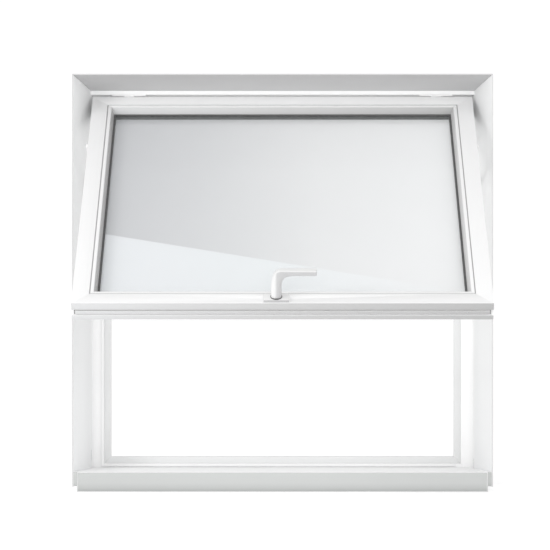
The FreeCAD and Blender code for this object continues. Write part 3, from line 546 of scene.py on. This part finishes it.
def skinned(name, rings, material, body):
    """Closed piece through rings of points, riding on a body."""
    work = bmesh.new()
    loops = [[work.verts.new(point) for point in ring] for ring in rings]
    for lower, upper in zip(loops, loops[1:]):
        for i in range(len(lower)):
            after = (i + 1) % len(lower)
            work.faces.new((lower[i], lower[after], upper[after], upper[i]))
    work.faces.new(loops[0])
    work.faces.new(loops[-1])
    piece = finished(name, work, 50, material)
    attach(piece, body)
    return piece


def smooth_path(points, steps):
    """Catmull-Rom curve through rows of numbers."""
    rows = [points[0]] + list(points) + [points[-1]]
    path = []
    for i in range(1, len(rows) - 2):
        before, start, end, after = rows[i - 1:i + 3]
        for step in range(steps):
            t = step / steps
            path.append([0.5 * ((2 * b) + (c - a) * t + (2 * a - 5 * b + 4 * c - d) * t * t
                                + (3 * b - a - 3 * c + d) * t ** 3)
                         for a, b, c, d in zip(before, start, end, after)])
    path.append(list(points[-1]))
    return path


def turns():
    """Angles of the points of a round ring."""
    return [2 * math.pi * step / RING_POINTS for step in range(RING_POINTS)]


def squared(value, exponent):
    """A sine or cosine pushed outwards, so that a ring gets squarer corners."""
    return math.copysign(abs(value) ** exponent, value)


def lever_ring(outer_x, outer_out, inner_x, inner_out, half_up, corner):
    """Cross-section of the lever between a point on its outer edge and one on its inner edge."""
    middle_x, middle_out = (outer_x + inner_x) / 2, (outer_out + inner_out) / 2
    ring = []
    for turn in turns():
        wide = squared(math.cos(turn), corner) / 2
        tall = squared(math.sin(turn), corner) * half_up
        ring.append(on_sash(middle_x + wide * (outer_x - inner_x), tall,
                            middle_out + wide * (outer_out - inner_out)))
    return ring


def lever():
    """Lever: an upright oval neck that bends into a square-edged grip."""
    rings = [lever_ring(*station) for station in smooth_path(LEVER_STATIONS, PATH_STEPS)]
    piece = skinned("lever_grip", rings, MATERIALS["lever"], "handle")
    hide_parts("handle_lever")


def rounded_outline(half_wide, half_tall, corner):
    """Rectangle with arc corners, as (right, up) points."""
    points = []
    for quarter, (sign_x, sign_y) in enumerate(((1, 1), (-1, 1), (-1, -1), (1, -1))):
        for step in range(CORNER_STEPS + 1):
            turn = math.pi / 2 * (quarter + step / CORNER_STEPS)
            points.append((sign_x * (half_wide - corner) + corner * math.cos(turn),
                           sign_y * (half_tall - corner) + corner * math.sin(turn)))
    return points


def handle_plate():
    """Cover of the handle's base: a cushion-edged plate as wide as the CAD cover."""
    low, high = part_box("handle_cover")
    half_wide = (high.x - low.x) / 2 / MM
    half_tall = half_wide * PLATE_RATIO
    rings = []
    for out, inset in PLATE_LAYERS:
        corner = max(PLATE_CORNER - inset, SMALLEST_CORNER)
        outline = rounded_outline(half_wide - inset, half_tall - inset, corner)
        rings.append([on_sash(x, up, out) for x, up in outline])
    piece = skinned("handle_plate", rings, MATERIALS["plate"], "sash")
    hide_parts("handle_cover")


def handle_collar():
    """Thin ring on the plate that the neck turns in, dark with painted shade at the foot of the neck."""
    rings = [[on_sash(radius * math.cos(turn), radius * math.sin(turn), out) for turn in turns()]
             for out, radius in COLLAR_LAYERS]
    skinned("handle_collar", rings, MATERIALS["collar"], "sash")


lever()
handle_plate()
handle_collar()

# ---- stage, light and camera ----------------------------------------------------------------

EYE = Vector((0.0, -7.04, 0.564))
AIM = Vector((-0.0181, -0.04, 0.5133))
LENS_MM = 190.0
SENSOR_MM = 36.0
FAR_CLIP = 100.0

# Floor, in metres: a flat part that curves up into a wall behind the object.
FLOOR_NEAR, FLOOR_TURN, FLOOR_HALF = -14.0, 6.0, 14.0
SWEEP_RADIUS, SWEEP_STEPS, WALL_TOP = 3.0, 8, 12.0
FLOOR_GLOW = 0.27

SKY_STRENGTH = 0.66
LIGHT_AIM = Vector((0, 0, 0.5))
# name, place, size, power
SOFT_BOXES = [
    ("front", (0.0, -8.6, 1.6), (5.0, 2.5), 145), ("left", (-4.5, -4.5, 2.2), (1.8, 1.8), 80),
    ("right", (4.5, -4.5, 1.6), (3.0, 3.0), 27), ("top", (0.0, -3.0, 5.5), (4.0, 3.0), 20)]


def look_at(thing, place, target):
    thing.location = place
    thing.rotation_euler = (target - Vector(place)).to_track_quat("-Z", "Y").to_euler()


def camera():
    data = bpy.data.cameras.new("view")
    data.lens = LENS_MM
    data.sensor_width = SENSOR_MM
    data.clip_end = FAR_CLIP
    eye = bpy.data.objects.new("view", data)
    look_at(eye, EYE, AIM)
    bpy.context.scene.collection.objects.link(eye)
    bpy.context.scene.camera = eye


def floor_paint():
    made = Material("floor_white")
    made.colour(made.ramp(made.noise(scale=2.0), [(0.0, grey(0.90)), (1.0, grey(0.92))]))
    made.set(Roughness=0.9, Emission_Color=(1, 1, 1, 1), Emission_Strength=FLOOR_GLOW, Specular_IOR_Level=0.1)
    return made.material


def floor():
    """Large white sweep: floor that curves up far behind the object."""
    work = bmesh.new()
    profile = [(FLOOR_NEAR, 0.0), (FLOOR_TURN, 0.0)]
    for step in range(1, SWEEP_STEPS + 1):
        turn = step * math.pi / 2 / SWEEP_STEPS
        profile.append((FLOOR_TURN + SWEEP_RADIUS * math.sin(turn), SWEEP_RADIUS * (1 - math.cos(turn))))
    profile.append((FLOOR_TURN + SWEEP_RADIUS, WALL_TOP))
    rows = [[work.verts.new((x, y, z)) for x in (-FLOOR_HALF, FLOOR_HALF)] for y, z in profile]
    for near, far in zip(rows, rows[1:]):
        work.faces.new((near[0], near[1], far[1], far[0]))
    mesh = bpy.data.meshes.new("floor")
    work.to_mesh(mesh)
    work.free()
    mesh.shade_smooth()
    mesh.materials.append(floor_paint())
    sweep = bpy.data.objects.new("floor", mesh)
    bpy.context.scene.collection.objects.link(sweep)


def soft_box(name, place, size, power):
    data = bpy.data.lights.new(name, "AREA")
    data.shape = "RECTANGLE"
    data.size, data.size_y = size
    data.energy = power
    lamp = bpy.data.objects.new(name, data)
    look_at(lamp, place, LIGHT_AIM)
    bpy.context.scene.collection.objects.link(lamp)


def lights():
    world = bpy.data.worlds.new("studio")
    bpy.context.scene.world = world
    world.use_nodes = True
    background = world.node_tree.nodes["Background"]
    background.inputs["Color"].default_value = (1, 1, 1, 1)
    background.inputs["Strength"].default_value = SKY_STRENGTH
    for box in SOFT_BOXES:
        soft_box(*box)


camera()
floor()
lights()
bpy.context.scene.view_settings.view_transform = "Standard"
